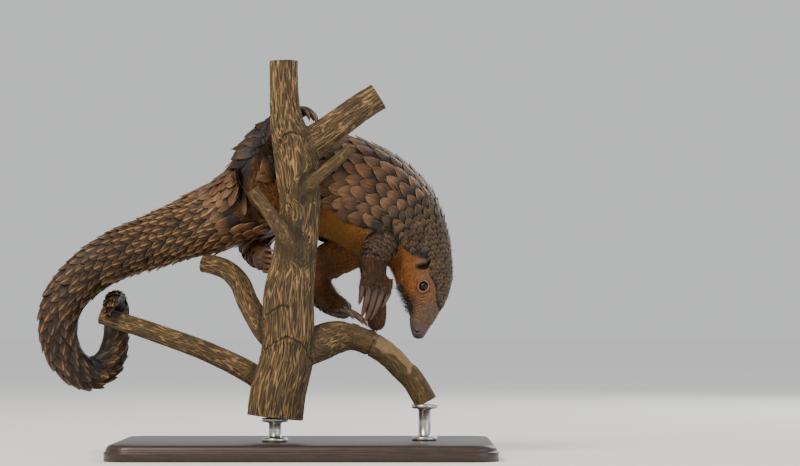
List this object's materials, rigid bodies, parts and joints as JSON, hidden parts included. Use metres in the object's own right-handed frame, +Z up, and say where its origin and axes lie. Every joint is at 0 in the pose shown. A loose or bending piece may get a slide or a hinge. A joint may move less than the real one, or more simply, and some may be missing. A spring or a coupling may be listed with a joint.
{
  "type": "pangolin model",
  "caption": "Life-size still model of a Sunda pangolin climbing head down round a cut tree stem with side branches, tail curled, on a flat display stand.",
  "frame": {"origin": "middle of the flat underside of the stand's base", "axes": "+Z up, +X towards the animal's head, the animal's right side towards -Y"},
  "size_m": [0.4564, 0.27, 0.3922],
  "materials": {
    "scales": "overlapping keratin scales, grey-brown horn with fine lengthwise grooves and paler worn edges",
    "limb_scales": "small dark keratin scales on the outer sides of the legs, brown skin and sparse hair inside",
    "bare_skin": "bare wrinkled grey-brown skin of ears, cheeks and muzzle",
    "belly_fur": "short coarse orange-brown hair on belly, throat and inner legs",
    "claw_horn": "pinkish-brown horn claws with fine lengthwise ribs",
    "eye": "wet black-brown eyeball",
    "bark": "grey-brown fissured bark with pale sawn ends",
    "bare_wood": "pale barkless and sawn wood",
    "stand_wood": "dark stained hardwood board, satin lacquer",
    "stand_steel": "turned and brushed steel rod"
  },
  "bodies": {
    "root": {"perch_stem": "bark", "perch_branch_upper": "bark", "perch_branch_lower": "bark", "perch_branch_side": "bark", "perch_branch_tail": "bark", "perch_branch_near_right": "bark", "perch_branch_near_left": "bark", "head": "scales", "neck": "scales", "trunk_chest": "scales", "trunk_loin": "scales", "tail_1": "scales", "tail_2": "scales", "tail_3": "scales", "tail_4": "scales", "tail_5": "scales", "eye_left": "eye", "eye_right": "eye", "ear_left": "bare_skin", "ear_right": "bare_skin", "foreleg_right_upper": "limb_scales", "foreleg_right_lower": "limb_scales", "claw_foreleg_right_1": "claw_horn", "claw_foreleg_right_2": "claw_horn", "claw_foreleg_right_3": "claw_horn", "claw_foreleg_right_4": "claw_horn", "claw_foreleg_right_5": "claw_horn", "foreleg_left_upper": "limb_scales", "foreleg_left_lower": "limb_scales", "claw_foreleg_left_1": "claw_horn", "claw_foreleg_left_2": "claw_horn", "claw_foreleg_left_3": "claw_horn", "claw_foreleg_left_4": "claw_horn", "claw_foreleg_left_5": "claw_horn", "hindleg_right_thigh": "limb_scales", "hindleg_right_shank": "limb_scales", "claw_hindleg_right_1": "claw_horn", "claw_hindleg_right_2": "claw_horn", "claw_hindleg_right_3": "claw_horn", "claw_hindleg_right_4": "claw_horn", "claw_hindleg_right_5": "claw_horn", "hindleg_left_thigh": "limb_scales", "hindleg_left_shank": "limb_scales", "claw_hindleg_left_1": "claw_horn", "claw_hindleg_left_2": "claw_horn", "claw_hindleg_left_3": "claw_horn", "claw_hindleg_left_4": "claw_horn", "claw_hindleg_left_5": "claw_horn", "stand_base": "stand_wood", "stand_rod_1": "stand_steel", "stand_rod_2": "stand_steel"}
  },
  "joints": []
}
